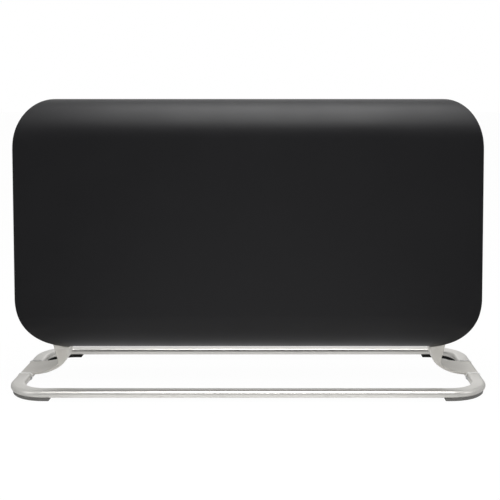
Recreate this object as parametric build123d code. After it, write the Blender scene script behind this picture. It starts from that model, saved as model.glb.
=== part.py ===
from build123d import *
import math
import os

# Convector heater: a sheet steel body on a low aluminium loop foot.
# Millimetres. X runs along the width, -Y is the front, Z is up, and the floor is Z = 0.
# The origin is on the floor, under the middle of the body.

# Body shell
body_width = 650.0
body_height = 357.0
body_depth = 120.0
body_base = 47.0        # underside of the body above the floor
roll_radius = 58.0      # front and back sheets roll over at the top and bottom
corner_top = 46.0       # corners of the outline seen from the front: reach along X
corner_top_rise = 70.0  # and along Z
corner_bottom = 82.0
corner_bottom_rise = 80.0
sheet = 1.2             # painted steel sheet
top_wrap = 6.0          # how far the front sheet reaches behind the middle, at the top
bottom_wrap = 34.0      # and at the bottom, where it covers the necks of the foot
seam_gap = 0.8          # open seam between two outer sheets
fit_gap = 0.3           # clearance between pieces that are put together

# Grilles in the rear rolls, as angles from straight up or straight down
outlet_end = 62.0
inlet_end = 76.0
grille_wall = 2.0
grille_sunk = 0.3       # set back from the sheets' outer faces
grille_margin = 5.0     # plain border at each end of a grille's arc
slot_height = 5.2       # a finger can't enter
slot_rib = 3.0
slot_columns = 5
column_rib = 8.0

# Louvre slots in the flat of the back sheet
louvre_rows = 5
louvre_length = 62.0
louvre_height = 5.0
louvre_pitch_x = 76.0
louvre_pitch_z = 13.0
louvre_up = 65.0        # lowest row above the body's underside

# End caps
cap_reach = 90.0        # from the side of the body inwards
cap_wall = 2.4

# Control bay, sunk into the right end cap
bay_height = 168.0
bay_width = 66.0
bay_depth = 16.0
bay_wall = 2.0
bay_rim = 4.0
bay_up = 185.0          # its middle above the body's underside
bay_corner = 12.0

# Thermostat
knob_diameter = 44.0
knob_height = 13.0
knob_skirt = 1.6        # flange at the knob's foot
knob_flutes = 24
knob_lift = 1.0         # running gap under the knob
knob_up = 30.0          # above the middle of the bay
shaft_diameter = 6.0
shaft_fit = 0.05        # radial running clearance of the shaft
shaft_grip = 9.0        # length of shaft inside the knob
thermostat_size = 32.0
thermostat_depth = 22.0
thermostat_neck = 10.0  # diameter of the threaded neck that clamps it
thermostat_nut = 14.0   # across flats

# Rocker switches
rocker_down = 26.0      # first switch below the middle of the bay
rocker_pitch = 30.0
rocker_case_height = 25.0
rocker_case_width = 18.0
rocker_case_depth = 18.0
rocker_flange = 1.6
rocker_length = 20.0
rocker_width = 11.0
rocker_tilt = 9.0       # half of the rocker's travel, in degrees
rocker_pin = 2.4        # diameter of its pivot
rocker_clear = 0.4
rocker_skin = 0.5       # wall left outside the pivot holes

# Indicator lamp
lens_diameter = 8.0
lens_rise = 2.4
lens_depth = 6.0
lens_up = 64.0          # above the middle of the bay

# Carcass inside the body
galvanised = 1.2
rail_width = 60.0
rail_up = 17.0          # underside of the rail's web above the body's underside
rail_flange_inset = 2.0
frame_gap = 4.0         # side frames stand this far inside the end caps
frame_foot = 14.0
frame_down = 31.0       # top of the side frames below the top of the body
frame_half_width = 46.0
frame_corner = 18.0
frame_clear = 5.0       # kept clear of the outer sheets
shield_y = 42.0         # heat shields, in front of and behind the element
shield_up = 65.0        # its lower edge above the body's underside
shield_down = 73.0      # its upper edge below the body's top
shield_hem = 12.0
shield_groove = 30.0    # stiffening grooves, in from the edges
vent_length = 40.0      # slots through the side frames
vent_height = 8.0
vent_pitch = 20.0
vent_rows = 3
vent_up = 183.0         # lowest slot above the body's underside

# Heating element
element_up = 111.0      # above the body's underside
element_core = 18.0     # diameter of the solid core of the fins
element_fin = 30.0      # reach of each diagonal fin
element_fin_wall = 1.6
element_fin_angle = 35.0
element_clear = 12.0    # from the side frames
element_slits = 15
element_slit = 2.0
rod_diameter = 6.5
rod_pitch = 9.0
rod_pin = 3.0
rod_pin_length = 12.0
bush_outer = 12.0
bush_flange = 16.0
bush_flange_wall = 3.0
bush_length = 10.0

# Safety devices
cutout_diameter = 16.0
cutout_height = 9.0
cutout_down = 103.0     # below the top of the body
tip_case_width = 24.0
tip_case_height = 44.0
tip_case_depth = 14.0
tip_case_wall = 2.0
tip_up = 65.0           # its pivot above the body's underside
tip_pin = 3.0
tip_arm = 24.0          # from the pivot to the middle of the weight
tip_weight = 12.0
tip_weight_thick = 7.0

# Electrical connections
block_length = 40.0
block_width = 16.0
block_height = 14.0
block_up = 153.0        # above the body's underside
block_wire = 3.6

# Cord entry in the back sheet; the cord itself isn't part of the model
gland_inset = 33.0      # from the side of the body
gland_up = 103.0        # above the body's underside
gland_bore = 7.2
gland_body = 13.0
gland_flange = 20.0
gland_flange_wall = 3.0
gland_length = 16.0
gland_nut = 18.0
gland_nut_wall = 4.0

# Foot loop
loop_overhang = 4.0     # beyond each side of the body
loop_depth = 236.0
bar_width = 20.0        # flat oval aluminium tube
bar_height = 9.5
bar_edge = 4.6
bar_wall = 1.8
loop_corner = 45.0      # bend radius on the tube's centre line
pad_height = 4.5
pad_width = 14.0
pad_tail = 8.0          # past the end of the bend, along the long bar
pad_chamfer = 0.8
bracket_half = 31.0     # the cast bracket's half length along Y
joint_gap = 1.5         # filled by a pale ring
ring_fit = 0.05
spigot_length = 11.0
spigot_fit = 0.15
set_screw_diameter = 4.0
set_screw_y = 7.0       # from the joint into the tube
set_screw_proud = 0.6

# Neck of the cast bracket, which rises from the side bar to the body
neck_inner_inset = 63.0 # its inner face from the side of the body, at its foot
neck_top_inset = 74.0   # and well inside the body
neck_bend_inset = 51.0  # its outer face at its foot
neck_outer_inset = 46.0 # and at the body
neck_bend_down = 19.0   # where its outer face turns into the arm, below the body
neck_under_down = 11.0  # where its inner face turns into the arm
neck_under_drop = 24.5
neck_edge = 1.2
neck_taper = 60.0       # length over which the arm narrows towards the middle
boss_diameter = 9.0
boss_pitch = 20.0
boss_sunk = 1.0         # the bosses start this far above the body's underside
boss_hole = 4.2
bolt_diameter = 5.0
bolt_head = 9.0
bolt_head_height = 4.0
bolt_length = 12.0

# Fasteners
screw_head = 7.0
screw_head_height = 2.2
screw_shank = 3.5
screw_length = 9.0
screw_recess = 2.4
bay_screw_head = 5.0
bay_screw_inset = 8.0

# Worked out from the sizes above
half_width = body_width / 2
half_depth = body_depth / 2
body_top = body_base + body_height
roll_y = half_depth - roll_radius
roll_top_z = body_top - roll_radius
roll_bottom_z = body_base + roll_radius
middle_z = body_base + body_height / 2
cap_start = half_width - cap_reach
bay_floor_x = half_width - sheet - bay_depth
frame_x = cap_start - frame_gap
grille_length = 2 * (cap_start - 1)
louvre_columns = int((grille_length - louvre_length) / louvre_pitch_x) + 1
louvre_base = body_base + louvre_up
bay_centre_z = body_base + bay_up
knob_z = bay_centre_z + knob_up
lens_z = bay_centre_z + lens_up
rocker_low_z = bay_centre_z - rocker_down
rocker_high_z = rocker_low_z - rocker_pitch
rail_web_z = body_base + rail_up
frame_height_top = body_top - frame_down
shield_bottom = body_base + shield_up
shield_top = body_top - shield_down
element_z = body_base + element_up
cutout_z = body_top - cutout_down
tip_z = body_base + tip_up
block_z = body_base + block_up
gland_x = half_width - gland_inset
gland_z = body_base + gland_up
loop_width = body_width + 2 * loop_overhang
neck_inner_x = half_width - neck_inner_inset
neck_inner_top = half_width - neck_top_inset
neck_bend_x = half_width - neck_bend_inset
neck_top_x = half_width - neck_outer_inset
neck_x = (neck_inner_x + neck_top_x) / 2
neck_bend_z = body_base - neck_bend_down
neck_under_z = body_base - neck_under_down
bar_z = pad_height + bar_height / 2
bar_x = loop_width / 2 - bar_width / 2
bar_y = loop_depth / 2 - bar_width / 2
neck_under_reach = bar_x - bar_width / 2
rail_top = rail_web_z + galvanised
far = 2 * body_width


def save(shape, node):
    shape.label = node
    export_step(shape, "parts/" + node + ".step")


def solids_of(*shapes):
    return Compound(children=[solid for shape in shapes for solid in shape.solids()])


def box_between(x0, x1, y0, y1, z0, z1):
    middle = Location(((x0 + x1) / 2, (y0 + y1) / 2, (z0 + z1) / 2))
    return middle * Box(abs(x1 - x0), abs(y1 - y0), abs(z1 - z0))


def rod_x(x0, x1, y, z, diameter):
    place = Location(((x0 + x1) / 2, y, z), (0, 90, 0))
    return place * Cylinder(diameter / 2, abs(x1 - x0))


def rod_y(y0, y1, x, z, diameter):
    place = Location((x, (y0 + y1) / 2, z), (90, 0, 0))
    return place * Cylinder(diameter / 2, abs(y1 - y0))


def rod_z(z0, z1, x, y, diameter):
    return Location((x, y, (z0 + z1) / 2)) * Cylinder(diameter / 2, abs(z1 - z0))


def hexagon_x(x0, x1, y, z, across):
    face = Plane.YZ * RegularPolygon(across / 2, 6, major_radius=False)
    return Location((min(x0, x1), y, z)) * extrude(face, abs(x1 - x0))


def mirrored(shape):
    return mirror(shape, Plane.YZ)


# The body's envelope

def side_slab(inset, reach=far):
    """The body seen from its side, drawn in by an inset and run along X."""
    face = RectangleRounded(body_depth - 2 * inset, body_height - 2 * inset, roll_radius - inset)
    return Location((0, 0, middle_z)) * extrude(Plane.YZ * face, reach / 2, both=True)


def outline_slab(inset):
    """The body seen from the front, drawn in by an inset and run along Y."""
    x = half_width - inset
    top, bottom = body_top - inset, body_base + inset
    top_x, top_z = corner_top - inset, corner_top_rise - inset
    low_x, low_z = corner_bottom - inset, corner_bottom_rise - inset
    edges = [
        Line((x - top_x, top), (top_x - x, top)),
        EllipticalCenterArc((top_x - x, top - top_z), top_x, top_z, 90),
        Line((-x, top - top_z), (-x, bottom + low_z)),
        EllipticalCenterArc((low_x - x, bottom + low_z), low_x, low_z, 180),
        Line((low_x - x, bottom), (x - low_x, bottom)),
        EllipticalCenterArc((x - low_x, bottom + low_z), low_x, low_z, 270),
        Line((x, bottom + low_z), (x, top - top_z)),
        EllipticalCenterArc((x - top_x, top - top_z), top_x, top_z, 0),
    ]
    return extrude(Plane.XZ * make_face(edges), body_depth, both=True)


def envelope(side_inset, outline_inset):
    return side_slab(side_inset) & outline_slab(outline_inset)


# Foot loop

def bar_section(inset=0.0):
    return RectangleRounded(bar_width - 2 * inset, bar_height - 2 * inset, bar_edge - inset)


def loop_path(end_y):
    """Centre line of the front half of the loop, from one joint to the other."""
    corners = [(-bar_x, end_y), (-bar_x, -bar_y), (bar_x, -bar_y), (bar_x, end_y)]
    points = [(x, y, bar_z) for x, y in corners]
    return FilletPolyline(*points, radius=loop_corner)


def half_loop(inset, end_y):
    start = Plane(origin=(-bar_x, end_y, bar_z), x_dir=(1, 0, 0), z_dir=(0, -1, 0))
    return sweep(start * bar_section(inset), path=loop_path(end_y))


def set_screw_holes(y):
    """Threaded holes for the joints' set screws, in from the inner side of both side bars."""
    hole = rod_x(bar_x - bar_width, bar_x, y, bar_z, set_screw_diameter)
    return [hole, mirrored(hole)]


def foot_tube():
    end_y = -(bracket_half + joint_gap)
    tube = half_loop(0, end_y) - half_loop(bar_wall, end_y)
    for hole in set_screw_holes(end_y - set_screw_y):
        tube -= hole
    return tube


def foot_pads():
    """One rubber pad under each bend of the loop, with a short tail along the long bar."""
    ring = Cylinder(loop_corner + pad_width / 2, pad_height)
    ring -= Cylinder(loop_corner - pad_width / 2, pad_height)
    quarter = ring & box_between(0, far, -far, 0, -far, far)
    tail = Location((-pad_tail / 2, -loop_corner, 0)) * Box(pad_tail, pad_width, pad_height)
    pad = quarter + tail
    pad = chamfer(pad.edges().group_by(Axis.Z)[0], pad_chamfer)
    pad = Location((bar_x - loop_corner, loop_corner - bar_y, pad_height / 2)) * pad
    left = mirrored(pad)
    return solids_of(pad, left, mirror(pad, Plane.XZ), mirror(left, Plane.XZ))


def joint_rings():
    """Pale rings that fill the joints between the tubes and the cast brackets."""
    face = bar_section() - bar_section(bar_wall)
    place = Plane(origin=(bar_x, bracket_half + ring_fit, bar_z), x_dir=(1, 0, 0), z_dir=(0, 1, 0))
    ring = extrude(place * face, joint_gap - 2 * ring_fit)
    left = mirrored(ring)
    return solids_of(ring, left, mirror(ring, Plane.XZ), mirror(left, Plane.XZ))


def set_screws():
    made = []
    y = bracket_half + joint_gap + set_screw_y
    inner = bar_x - bar_width / 2
    socket = set_screw_diameter * 0.5
    for side_y in (-y, y):
        screw = rod_x(inner - set_screw_proud, bar_x - bar_width / 4, side_y, bar_z,
                      set_screw_diameter - 2 * spigot_fit)
        screw -= hexagon_x(inner - far, inner + set_screw_diameter / 3, side_y, bar_z, socket)
        made += [screw, mirrored(screw)]
    return solids_of(*made)


def neck_profile():
    """The bracket's arm and neck seen from the front: out of the side bar, in and up."""
    top = body_base + roll_radius / 2
    arm_reach = bar_x - neck_bend_x
    arm_drop = neck_bend_z - (pad_height + bar_height)
    under_reach = neck_under_reach - neck_inner_x
    arm = EllipticalCenterArc((bar_x, neck_bend_z), arm_reach, arm_drop, 180)
    under = EllipticalCenterArc((neck_under_reach, neck_under_z), under_reach, neck_under_drop, 180)
    flare = (top - neck_bend_z) * (neck_top_x - neck_bend_x) / (body_base + neck_edge - neck_bend_z)
    edge = [
        arm,
        Line(arm @ 1, (bar_x, bar_z)),
        Line((bar_x, bar_z), (neck_under_reach, bar_z)),
        Line((neck_under_reach, bar_z), under @ 1),
        under,
        Line(under @ 0, (neck_inner_top, top)),
        Line((neck_inner_top, top), (neck_bend_x + flare, top)),
        Line((neck_bend_x + flare, top), arm @ 0),
    ]
    return make_face(edge)


def neck_blade():
    blade = extrude(Plane.XZ * neck_profile(), bracket_half, both=True)
    full_x = neck_inner_top + neck_taper
    tongue = extrude(Ellipse(neck_taper, bracket_half), far, both=True)
    tongue = Location((full_x, 0, 0)) * tongue
    tongue += box_between(full_x, far, -bracket_half, bracket_half, -far, far)
    blade &= tongue
    blade -= envelope(-fit_gap, -fit_gap)
    return blade


def boss_places():
    return [(neck_x, -boss_pitch / 2), (neck_x, boss_pitch / 2)]


def foot_bracket():
    """Cast side bracket of the right side: side bar, spigots, arm, neck and bosses."""
    section = Plane(origin=(bar_x, -bracket_half, bar_z), x_dir=(1, 0, 0), z_dir=(0, 1, 0))
    bracket = extrude(section * bar_section(), 2 * bracket_half)
    plug_inset = bar_wall + spigot_fit
    plug_reach = bracket_half + joint_gap + spigot_length
    plug = Plane(origin=(bar_x, -plug_reach, bar_z), x_dir=(1, 0, 0), z_dir=(0, 1, 0))
    spigots = extrude(plug * bar_section(plug_inset), 2 * plug_reach)
    for y in (-1, 1):
        hole_y = y * (bracket_half + joint_gap + set_screw_y)
        spigots -= rod_x(0, bar_x - bar_width / 5, hole_y, bar_z, set_screw_diameter)
    bracket += spigots
    bracket += neck_blade()
    for x, y in boss_places():
        boss = rod_z(body_base + boss_sunk, rail_web_z - fit_gap, x, y, boss_diameter)
        bracket += boss
    for x, y in boss_places():
        bracket -= rod_z(rail_web_z - bolt_length, far, x, y, boss_hole)
    return bracket


def neck_bolts():
    """Pan head bolts through the rail's web into the necks' bosses."""
    made = []
    for x, y in boss_places():
        bolt = rod_z(rail_top, rail_top + bolt_head_height, x, y, bolt_head)
        bolt += rod_z(rail_web_z - bolt_length + 1, rail_top, x, y, boss_hole - 2 * spigot_fit)
        bolt -= rod_z(rail_top + bolt_head_height / 2, far, x, y, bolt_diameter / 2)
        made += [bolt, mirrored(bolt)]
    return solids_of(*made)


def boss_openings(solid):
    """Holes where the bosses pass through a skin."""
    for x, y in boss_places():
        opening = rod_z(0, rail_web_z, x, y, boss_diameter + 2)
        solid -= opening
        solid -= mirrored(opening)
    return solid


# Outer sheets and grilles

def front_panel():
    shell = envelope(0, 0) - side_slab(sheet)
    keep = box_between(-far, far, -far, top_wrap, middle_z, far)
    keep += box_between(-far, far, -far, bottom_wrap, 0, middle_z)
    return boss_openings(shell & keep)


def roll_edge_z(angle, up):
    """Height where a rear roll has turned by an angle from straight up or down."""
    rise = roll_radius * math.cos(math.radians(angle))
    return roll_top_z + rise if up else roll_bottom_z - rise


def back_panel():
    shell = envelope(0, 0) - side_slab(sheet)
    low = roll_edge_z(inlet_end, False) + seam_gap
    high = roll_edge_z(outlet_end, True) - seam_gap
    panel = shell & box_between(-far, far, 0, far, low, high)
    length = louvre_length - louvre_height
    for row in range(louvre_rows):
        for column in range(louvre_columns):
            x = (column - (louvre_columns - 1) / 2) * louvre_pitch_x
            z = louvre_base + row * louvre_pitch_z
            slot = extrude(Plane.XZ * SlotCenterToCenter(length, louvre_height), body_depth)
            panel -= Location((x, body_depth, z)) * slot
    for x, z in back_screw_places():
        panel -= rod_y(0, far, x, z, screw_shank + fit_gap)
    panel -= rod_y(0, far, gland_x, gland_z, gland_body + fit_gap)
    return panel


def roll_sector(inner, outer, start, end, length, up):
    """A piece of a rear roll's wall between two angles, run along X."""
    ring = Circle(outer) - Circle(inner)
    reach = 2 * outer
    a, b = math.radians(start), math.radians(end)
    wedge = make_face(Polyline(
        (0, 0),
        (reach * math.sin(a), reach * math.cos(a)),
        (reach * math.sin((a + b) / 2), reach * math.cos((a + b) / 2)),
        (reach * math.sin(b), reach * math.cos(b)),
        close=True,
    ))
    solid = extrude(Plane.YZ * (ring & wedge), length / 2, both=True)
    solid = Location((0, roll_y, roll_top_z)) * solid
    if up:
        return solid
    flipped = mirror(solid, Plane(origin=(0, 0, roll_top_z), z_dir=(0, 0, 1)))
    return Location((0, 0, roll_bottom_z - roll_top_z)) * flipped


def wrap_angle(reach):
    """Angle on a rear roll where a grille begins, just behind the front sheet's edge."""
    inner = roll_radius - grille_sunk - grille_wall
    return math.degrees(math.asin((reach + seam_gap - roll_y) / inner))


def grille(start, end, length, up):
    end -= math.degrees(seam_gap / roll_radius) / 2
    outer = roll_radius - grille_sunk
    body = roll_sector(outer - grille_wall, outer, start, end, length, up)
    slot = math.degrees(slot_height / roll_radius)
    rib = math.degrees(slot_rib / roll_radius)
    margin = math.degrees(grille_margin / roll_radius)
    rows = int((end - start - 2 * margin + rib) / (slot + rib))
    first = (start + end) / 2 - (rows * (slot + rib) - rib) / 2
    column = (length - 2 * grille_margin + column_rib) / slot_columns - column_rib
    for row in range(rows):
        low = first + row * (slot + rib)
        cut = roll_sector(outer - 3 * grille_wall, outer + grille_wall, low, low + slot, column, up)
        for place in range(slot_columns):
            x = (place - (slot_columns - 1) / 2) * (column + column_rib)
            body -= Location((x, 0, 0)) * cut
    return body


def outlet_grille():
    return grille(wrap_angle(top_wrap), outlet_end, grille_length, True)


def inlet_grille():
    return grille(wrap_angle(bottom_wrap), inlet_end, grille_length, False)


def end_cap():
    """Moulded cap of the right side: a cup that plugs into the ends of the sheets."""
    skin = sheet + fit_gap
    cap = envelope(skin, sheet) - envelope(skin + cap_wall, sheet + cap_wall)
    cap &= box_between(cap_start, far, -far, far, 0, far)
    for x, z in back_screw_places():
        cap -= rod_y(0, far, x, z, screw_shank - 2 * spigot_fit)
    return boss_openings(cap)


def bay_outline(grow):
    face = RectangleRounded(bay_width + 2 * grow, bay_height + 2 * grow, bay_corner + grow)
    return Location((0, 0, bay_centre_z)) * (Plane.YZ * face)


def end_cap_right():
    cut = extrude(bay_outline(fit_gap), far)
    cap = end_cap() - cut
    return cap - rod_y(0, far, gland_x, gland_z, gland_body + fit_gap)


# Controls

def bay_screw_places():
    y = bay_width / 2 - bay_screw_inset
    z = bay_height / 2 - bay_screw_inset
    return [(sy * y, bay_centre_z + sz * z) for sy in (-1, 1) for sz in (-1, 1)]


def control_bay():
    """Open tub that holds the controls below the level of the cap."""
    rim_x = half_width - sheet
    back = bay_floor_x - bay_wall
    tub = Location((back, 0, 0)) * extrude(bay_outline(0), rim_x - back)
    hollow = Location((bay_floor_x, 0, 0)) * extrude(bay_outline(-bay_wall), far)
    flange_x = half_width - sheet - cap_wall - fit_gap
    flange = Location((flange_x - bay_wall, 0, 0)) * extrude(bay_outline(bay_rim), bay_wall)
    tub = tub + flange - hollow
    tub -= rod_x(0, far, 0, knob_z, thermostat_neck + fit_gap)
    tub -= rod_x(0, far, 0, lens_z, lens_diameter + fit_gap)
    for z in (rocker_low_z, rocker_high_z):
        size_y = rocker_case_width - 2 * rocker_flange + 2 * fit_gap
        size_z = rocker_case_height - 2 * rocker_flange + 2 * fit_gap
        tub -= Location((back, 0, z)) * Box(4 * bay_wall, size_y, size_z)
    for y, z in bay_screw_places():
        tub -= rod_x(0, far, y, z, screw_shank - 1)
    return tub


def bay_screws():
    made = []
    for y, z in bay_screw_places():
        screw = rod_x(bay_floor_x, bay_floor_x + screw_head_height, y, z, bay_screw_head)
        screw += rod_x(bay_floor_x - screw_length, bay_floor_x, y, z, screw_shank - 1 - 2 * spigot_fit)
        screw -= hexagon_x(bay_floor_x + screw_head_height / 2, far, y, z, screw_recess)
        made.append(screw)
    return solids_of(*made)


def thermostat_body():
    back = bay_floor_x - bay_wall - fit_gap
    body = box_between(back - thermostat_depth, back, -thermostat_size / 2, thermostat_size / 2,
                       knob_z - thermostat_size / 2, knob_z + thermostat_size / 2)
    body = fillet(body.edges().filter_by(Axis.X), 3)
    neck_end = bay_floor_x + bay_wall
    body += rod_x(back, neck_end, 0, knob_z, thermostat_neck)
    bore = shaft_diameter + 2 * shaft_fit
    return body - rod_x(back - thermostat_depth / 2, far, 0, knob_z, bore)


def thermostat_nut_ring():
    ring = hexagon_x(bay_floor_x + fit_gap / 3, bay_floor_x + bay_wall, 0, knob_z, thermostat_nut)
    return ring - rod_x(0, far, 0, knob_z, thermostat_neck + 2 * spigot_fit)


def thermostat_shaft():
    start = bay_floor_x - bay_wall - fit_gap - thermostat_depth / 2 + fit_gap
    foot = bay_floor_x + bay_wall + knob_lift
    end = foot + shaft_grip
    shaft = rod_x(start, end, 0, knob_z, shaft_diameter)
    flat = box_between(foot, far, shaft_diameter / 4, far, 0, far)
    return shaft - flat


def thermostat_knob():
    """Fluted knob with a skirt and a raised pointer."""
    foot = bay_floor_x + bay_wall + knob_lift
    top = bay_floor_x + knob_height + knob_lift
    face = Circle(knob_diameter / 2 - knob_skirt)
    flute = math.pi * knob_diameter / knob_flutes / 5
    for step in range(knob_flutes):
        turn = math.radians(360 * step / knob_flutes)
        reach = knob_diameter / 2 - knob_skirt + flute / 2
        face -= Location((reach * math.cos(turn), reach * math.sin(turn))) * Circle(flute)
    grip = Location((foot, 0, knob_z)) * extrude(Plane.YZ * face, top - foot)
    skirt = rod_x(foot, foot + knob_skirt, 0, knob_z, knob_diameter)
    knob = grip + skirt
    pointer = box_between(top - 1, top + 0.8, -1.2, 1.2, knob_z + knob_diameter / 6,
                          knob_z + knob_diameter / 2 - 2 * knob_skirt)
    knob += pointer
    hole = rod_x(foot, foot + shaft_grip + fit_gap, 0, knob_z, shaft_diameter + 2 * spigot_fit)
    hole -= box_between(foot, far, shaft_diameter / 4 + spigot_fit, far, 0, far)
    return knob - hole


def rocker_case(z):
    """Snap-in switch case with a flange on the bay's floor and an open well for the rocker."""
    back = bay_floor_x - rocker_case_depth
    half_y, half_z = rocker_case_width / 2, rocker_case_height / 2
    case = box_between(back, bay_floor_x, -half_y + rocker_flange, half_y - rocker_flange,
                       z - half_z + rocker_flange, z + half_z - rocker_flange)
    case += box_between(bay_floor_x, bay_floor_x + rocker_flange, -half_y, half_y, z - half_z, z + half_z)
    well_y = rocker_width / 2 + rocker_clear
    well_z = rocker_length / 2 + rocker_clear
    case -= box_between(bay_floor_x - rocker_case_depth * 0.6, far, -well_y, well_y,
                        z - well_z, z + well_z)
    pin_end = half_y - rocker_flange - rocker_skin
    case -= rod_y(-pin_end, pin_end, bay_floor_x - 1, z, rocker_pin + 2 * shaft_fit)
    for side in (-1, 1):
        tab = box_between(back - 6, back, -0.4, 0.4, z + side * 6 - 2.4, z + side * 6 + 2.4)
        case += tab
    return case


def rocker(z):
    """Rocker with a shallow V face, pressed in at its lower end at rest."""
    half_y = rocker_width / 2
    pivot_x = bay_floor_x - 1
    crown = 5.2
    drop = rocker_length / 2 * math.tan(math.radians(rocker_tilt))
    face = make_face(Polyline(
        (pivot_x - 5, z - rocker_length / 4),
        (pivot_x - 2, z - rocker_length / 2 + 0.6),
        (pivot_x + crown + drop, z - rocker_length / 2 + 0.6),
        (pivot_x + crown - drop, z),
        (pivot_x + crown + drop, z + rocker_length / 2 - 0.6),
        (pivot_x - 2, z + rocker_length / 2 - 0.6),
        (pivot_x - 5, z + rocker_length / 4),
        close=True,
    ))
    body = extrude(Plane.XZ * face, half_y, both=True)
    pin_reach = rocker_case_width / 2 - rocker_flange - rocker_skin - shaft_fit
    body += rod_y(-pin_reach, pin_reach, pivot_x, z, rocker_pin)
    return body.rotate(Axis((pivot_x, 0, z), (0, 1, 0)), rocker_tilt)


def indicator_lens():
    lens = rod_x(bay_floor_x, bay_floor_x + lens_rise, 0, lens_z, lens_diameter + 2)
    lens = fillet(lens.edges().group_by(Axis.X)[-1], lens_rise * 0.8)
    return lens + rod_x(bay_floor_x - lens_depth, bay_floor_x, 0, lens_z, lens_diameter)


# Carcass

def chassis_rail():
    half = rail_width / 2
    web = box_between(-neck_top_x - boss_diameter, neck_top_x + boss_diameter, -half, half,
                      rail_web_z, rail_top)
    skin = roll_radius - sheet - fit_gap
    flange_y = half - galvanised
    foot_z = roll_bottom_z - math.sqrt(skin**2 - (half - roll_y) ** 2)
    end = cap_start - rail_flange_inset
    rail = web
    for side in (-1, 1):
        rail += box_between(-end, end, side * flange_y, side * half, foot_z, rail_web_z)
    for x, y in boss_places():
        hole = rod_z(0, far, x, y, bolt_diameter + fit_gap)
        rail -= hole
        rail -= mirrored(hole)
    for x, y in frame_screw_places():
        hole = rod_z(0, far, x, y, screw_shank + fit_gap)
        rail -= hole
        rail -= mirrored(hole)
    return rail


def frame_screw_places():
    x = frame_x - galvanised - frame_foot / 2
    return [(x, -rail_width / 4), (x, rail_width / 4)]


def rod_places():
    return [(0, element_z - rod_pitch / 2 - bush_flange / 2), (0, element_z + rod_pitch / 2 + bush_flange / 2)]


def side_frame():
    """Upright of the right side, with a foot on the rail."""
    half = frame_half_width
    inner = frame_x - galvanised
    plate = box_between(inner, frame_x, -half, half, rail_top, frame_height_top)
    plate = fillet(plate.edges().filter_by(Axis.X).group_by(Axis.Z)[-1], frame_corner)
    plate &= side_slab(sheet + frame_clear)
    plate += box_between(inner - frame_foot, inner, -rail_width / 2, rail_width / 2,
                         rail_top, rail_top + galvanised)
    for y, z in rod_places():
        plate -= rod_x(0, far, y, z, bush_outer + 2 * spigot_fit)
    for x, y in frame_screw_places():
        plate -= rod_z(0, far, x, y, screw_shank + fit_gap)
    vent = Plane.YZ * SlotCenterToCenter(vent_length, vent_height)
    for row in range(vent_rows):
        z = body_base + vent_up + row * vent_pitch
        plate -= Location((0, 0, z)) * extrude(vent, far)
    return plate


def frame_screws():
    made = []
    seat = rail_top + galvanised
    for x, y in frame_screw_places():
        screw = rod_z(seat, seat + screw_head_height, x, y, screw_head)
        screw += rod_z(seat - screw_length / 2, seat, x, y, screw_shank)
        screw -= rod_z(seat + screw_head_height / 2, far, x, y, screw_recess)
        made += [screw, mirrored(screw)]
    return solids_of(*made)


def heat_shield(side):
    """Sheet between the side frames, with its long edges hemmed towards the element."""
    length = frame_x - galvanised - fit_gap
    outer = side * shield_y
    inner = side * (shield_y - galvanised)
    hem = side * (shield_y - shield_hem)
    shield = box_between(-length, length, inner, outer, shield_bottom, shield_top)
    shield += box_between(-length, length, hem, outer, shield_top - galvanised, shield_top)
    for z in (shield_bottom + shield_groove, shield_top - shield_groove):
        groove = Location((0, outer, z), (0, 90, 0)) * Cylinder(galvanised * 0.6, 2 * length)
        shield -= groove
    return shield


# Heating element

def heating_element():
    """Aluminium core with four diagonal fins, slit across so that it can expand."""
    length = 2 * (frame_x - element_clear - galvanised)
    face = Circle(element_core / 2)
    for turn in (element_fin_angle, -element_fin_angle, 180 - element_fin_angle, 180 + element_fin_angle):
        fin = Location((element_fin / 2, 0)) * Rectangle(element_fin, element_fin_wall)
        face += Rotation(0, 0, turn) * fin
    upper = rod_places()[1][1] - element_z
    for z in (-upper, upper):
        face += Location((0, z)) * Circle(rod_diameter / 2 + 2)
        face += Location((0, z / 2)) * Rectangle(element_fin_wall * 2, abs(z))
    for z in (-upper, upper):
        face -= Location((0, z)) * Circle(rod_diameter / 2 + shaft_fit)
    bar = extrude(Plane.YZ * face, length / 2, both=True)
    bar = Location((0, 0, element_z)) * bar
    step = length / (element_slits + 1)
    for place in range(element_slits):
        x = -length / 2 + step * (place + 1)
        for side in (-1, 1):
            near = side * (element_core / 2 + 3)
            slit = box_between(x - element_slit / 2, x + element_slit / 2, near, side * far, 0, far)
            bar -= slit
    return bar


def heater_rods():
    made = []
    for y, z in rod_places():
        end = frame_x + bush_length / 2
        rod = rod_x(-end, end, y, z, rod_diameter)
        rod += rod_x(-end - rod_pin_length, end + rod_pin_length, y, z, rod_pin)
        made.append(rod)
    return solids_of(*made)


def ceramic_bushes():
    made = []
    for y, z in rod_places():
        inner = frame_x - galvanised
        bush = rod_x(inner - bush_flange_wall, inner, y, z, bush_flange)
        bush += rod_x(inner, inner + bush_length, y, z, bush_outer)
        bush -= rod_x(0, far, y, z, rod_diameter + 2 * shaft_fit)
        made += [bush, mirrored(bush)]
    return solids_of(*made)


# Safety devices and connections

def thermal_cutout():
    """Disc cut-out on a riveted strap, on the right side frame."""
    strap = box_between(frame_x, frame_x + 1, -18, 18, cutout_z - 7, cutout_z + 7)
    disc = rod_x(frame_x + 1, frame_x + 1 + cutout_height, 0, cutout_z, cutout_diameter)
    device = strap + disc
    for y in (-1, 1):
        top = frame_x + 1 + cutout_height
        device += box_between(top, top + 7, y * 5 - 2.4, y * 5 + 2.4, cutout_z - 0.4, cutout_z + 0.4)
        device += rod_x(frame_x + 1, frame_x + 2.4, y * 14, cutout_z, 4)
    return device


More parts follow.
